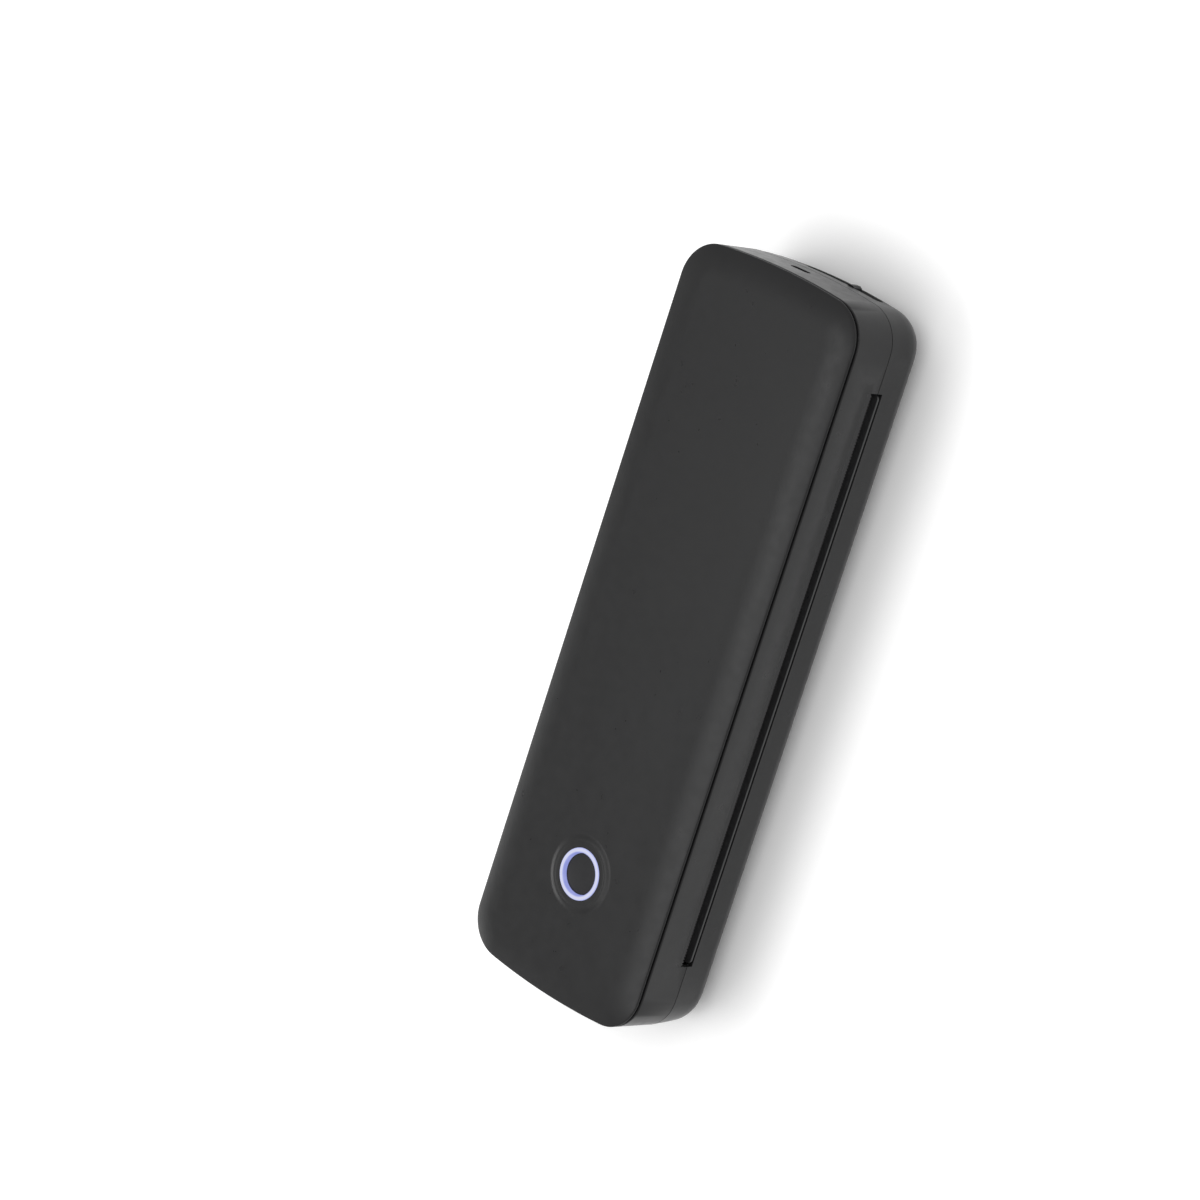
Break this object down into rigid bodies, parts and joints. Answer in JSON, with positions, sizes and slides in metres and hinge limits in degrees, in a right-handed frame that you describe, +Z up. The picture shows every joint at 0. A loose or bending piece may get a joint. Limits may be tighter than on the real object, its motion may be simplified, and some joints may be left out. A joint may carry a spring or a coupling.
{
  "type": "portable thermal printer",
  "caption": "Clamshell thermal printer for A4-wide paper: rear inlet, sprung print head over a driven platen, saw-tooth front slot, lit power button and release slider.",
  "frame": {"origin": "centre of the four feet's plane, under the middle of the case", "axes": "+X along the case to the end with the charging socket, -Y to the front where the paper leaves, +Z up"},
  "size_m": [0.285, 0.087, 0.0479],
  "materials": {
    "case_plastic": "fine-grained, matte",
    "panel_plastic": "fine-grained, matte",
    "button_plastic": "fine-grained, matte",
    "lip_plastic": "smooth, half gloss",
    "inner_plastic": "moulded, plain",
    "slider_plastic": "moulded, plain",
    "ring_light": "translucent, lit from below",
    "foot_rubber": "soft",
    "platen_rubber": "ground smooth",
    "frame_steel": "zinc plated",
    "pin_steel": "ground",
    "screw_steel": "zinc plated",
    "bush_plastic": "moulded, plain",
    "gear_plastic": "moulded, plain",
    "pinion_brass": "hobbed",
    "motor_steel": "plated can",
    "sink_aluminium": "extruded",
    "head_glaze": "glazed ceramic",
    "board_green": "solder resist",
    "chip_black": "moulded resin",
    "socket_steel": "drawn shell",
    "cell_wrap": "shrink sleeve"
  },
  "bodies": {
    "base": {"base_shell": "case_plastic", "rubber_feet": "foot_rubber", "exit_guide": "lip_plastic", "paper_tray": "inner_plastic", "tray_screws": "screw_steel", "paper_sensor": "inner_plastic", "cover_switch": "inner_plastic", "cell_cradle": "inner_plastic", "battery_cells": "cell_wrap", "side_frame_left": "frame_steel", "side_frame_right": "frame_steel", "frame_screws": "screw_steel", "platen_bushes": "bush_plastic", "idler_pin": "pin_steel", "stepper_motor": "motor_steel", "hinge_pins": "pin_steel", "latch_spring": "pin_steel"},
    "platen": {"platen_rubber": "platen_rubber", "platen_shaft": "pin_steel", "platen_gear": "gear_plastic"},
    "idler": {"idler_gear": "gear_plastic"},
    "pinion": {"motor_pinion": "pinion_brass", "motor_shaft": "pin_steel"},
    "latch": {"latch_bar": "frame_steel", "latch_hooks": "frame_steel", "slider_carrier": "frame_steel", "release_slider": "slider_plastic"},
    "cover": {"cover_housing": "case_plastic", "tear_edge": "case_plastic", "top_panel": "panel_plastic", "panel_screws": "screw_steel", "light_ring": "ring_light", "button_board": "board_green", "button_switch": "chip_black", "button_board_screws": "screw_steel", "main_board": "board_green", "board_chips": "chip_black", "main_board_screws": "screw_steel", "charge_board": "board_green", "charge_socket": "socket_steel", "charge_board_screws": "screw_steel", "upper_guide": "inner_plastic", "guide_screws": "screw_steel", "head_springs": "pin_steel"},
    "head": {"heat_sink": "sink_aluminium", "head_ceramic": "head_glaze", "head_pins": "pin_steel"},
    "button": {"power_button": "button_plastic"}
  },
  "joints": [
    {"name": "cover_hinge", "type": "hinge", "parent": "base", "child": "cover", "pos_m": [0, 0.0415, 0.02445], "axis": [-1, 0, 0], "range_deg": [0, 70]},
    {"name": "platen_spin", "type": "hinge", "parent": "base", "child": "platen", "pos_m": [0, -0.03, 0.0192], "axis": [1, 0, 0], "continuous": true},
    {"name": "idler_spin", "type": "hinge", "parent": "base", "child": "idler", "pos_m": [-0.115, -0.01835, 0.013], "axis": [1, 0, 0], "continuous": true},
    {"name": "pinion_spin", "type": "hinge", "parent": "base", "child": "pinion", "pos_m": [-0.115, -0.00715, 0.01083], "axis": [1, 0, 0], "continuous": true},
    {"name": "release_slide", "type": "slide", "parent": "base", "child": "latch", "axis": [0, 1, 0], "range_m": [0, 0.004], "stiffness_N_per_m": 500, "springref_m": -0.003, "deforming": ["latch_spring"]},
    {"name": "head_rock", "type": "hinge", "parent": "cover", "child": "head", "pos_m": [0, -0.018, 0.028], "axis": [-1, 0, 0], "range_deg": [0, 2], "stiffness_Nm_per_rad": 0.6, "springref_deg": -17.19, "deforming": ["head_springs"]},
    {"name": "button_press", "type": "slide", "parent": "cover", "child": "button", "axis": [0, 0, -1], "range_m": [0, 0.0006], "stiffness_N_per_m": 800, "springref_m": -0.001}
  ],
  "couplings": [
    {"joint": "idler_spin", "follows": "platen_spin", "ratio": -0.69231},
    {"joint": "pinion_spin", "follows": "platen_spin", "ratio": 1.5}
  ]
}
